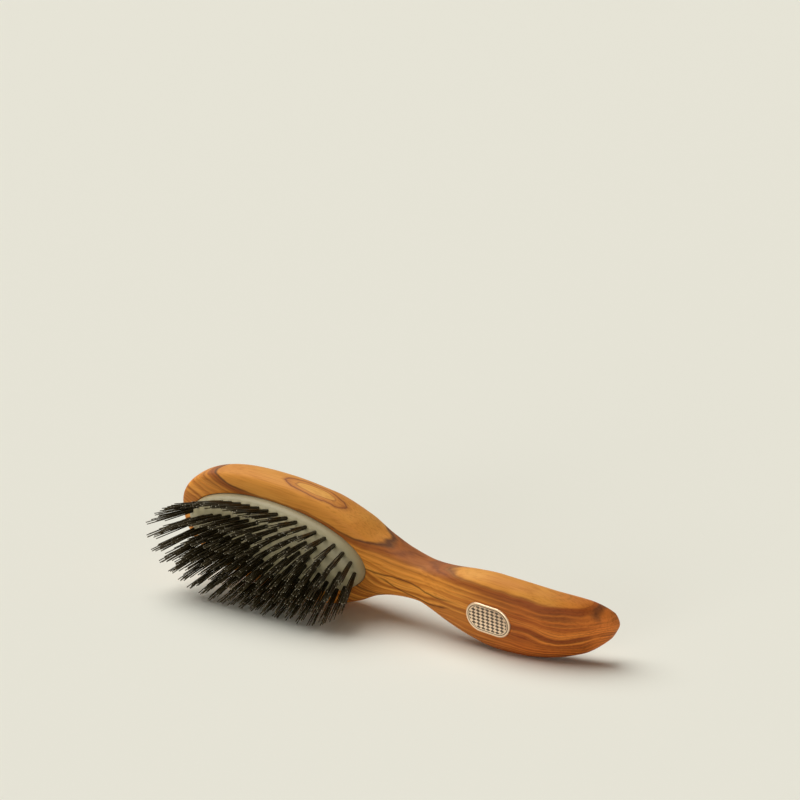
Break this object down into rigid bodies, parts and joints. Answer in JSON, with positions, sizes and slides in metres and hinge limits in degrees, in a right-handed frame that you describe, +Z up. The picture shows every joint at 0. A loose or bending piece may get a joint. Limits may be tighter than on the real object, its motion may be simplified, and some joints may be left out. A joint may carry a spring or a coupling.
{
  "type": "hair grooming brush",
  "caption": "Oval wooden hair brush with an air-cushioned rubber pad, rings of dark bristle tufts that give when pressed, and a metal oval let into the curved handle.",
  "frame": {"origin": "on the table, below the middle of the brush's outline as it lies on one edge", "axes": "+X along the brush from the head to the handle, +Y towards its back, +Z up from the table; the bristles face -Y and a little down"},
  "size_m": [0.2098, 0.056, 0.0546],
  "materials": {
    "wood": "oiled olive wood with dark veins",
    "rubber": "satin pale grey rubber",
    "badge": "rose gold plated, satin",
    "bristle": "dark natural bristle",
    "anchor": "plain"
  },
  "bodies": {
    "brush_body": {"wood_body": "wood", "rubber_cushion": "rubber", "badge_plate": "badge"},
    "tuft_ring_4": {"bristle_tufts_ring_4": "bristle", "anchor_pins_ring_4": "anchor"},
    "tuft_ring_1": {"bristle_tufts_ring_1": "bristle", "anchor_pins_ring_1": "anchor"},
    "tuft_ring_2": {"bristle_tufts_ring_2": "bristle", "anchor_pins_ring_2": "anchor"},
    "tuft_ring_3": {"bristle_tufts_ring_3": "bristle", "anchor_pins_ring_3": "anchor"}
  },
  "joints": [
    {"name": "cushion_press", "type": "slide", "parent": "brush_body", "child": "tuft_ring_4", "axis": [0.0205, 0.9744, 0.224], "range_m": [0, 0.005], "stiffness_N_per_m": 1500, "deforming": ["rubber_cushion"]},
    {"name": "ring_1_press", "type": "slide", "parent": "brush_body", "child": "tuft_ring_1", "axis": [0.0205, 0.9744, 0.224], "range_m": [0, 0.0023]},
    {"name": "ring_2_press", "type": "slide", "parent": "brush_body", "child": "tuft_ring_2", "axis": [0.0205, 0.9744, 0.224], "range_m": [0, 0.00366]},
    {"name": "ring_3_press", "type": "slide", "parent": "brush_body", "child": "tuft_ring_3", "axis": [0.0205, 0.9744, 0.224], "range_m": [0, 0.00458]}
  ],
  "couplings": [
    {"joint": "ring_1_press", "follows": "cushion_press", "ratio": 0.45652},
    {"joint": "ring_2_press", "follows": "cushion_press", "ratio": 0.72826},
    {"joint": "ring_3_press", "follows": "cushion_press", "ratio": 0.91304}
  ]
}
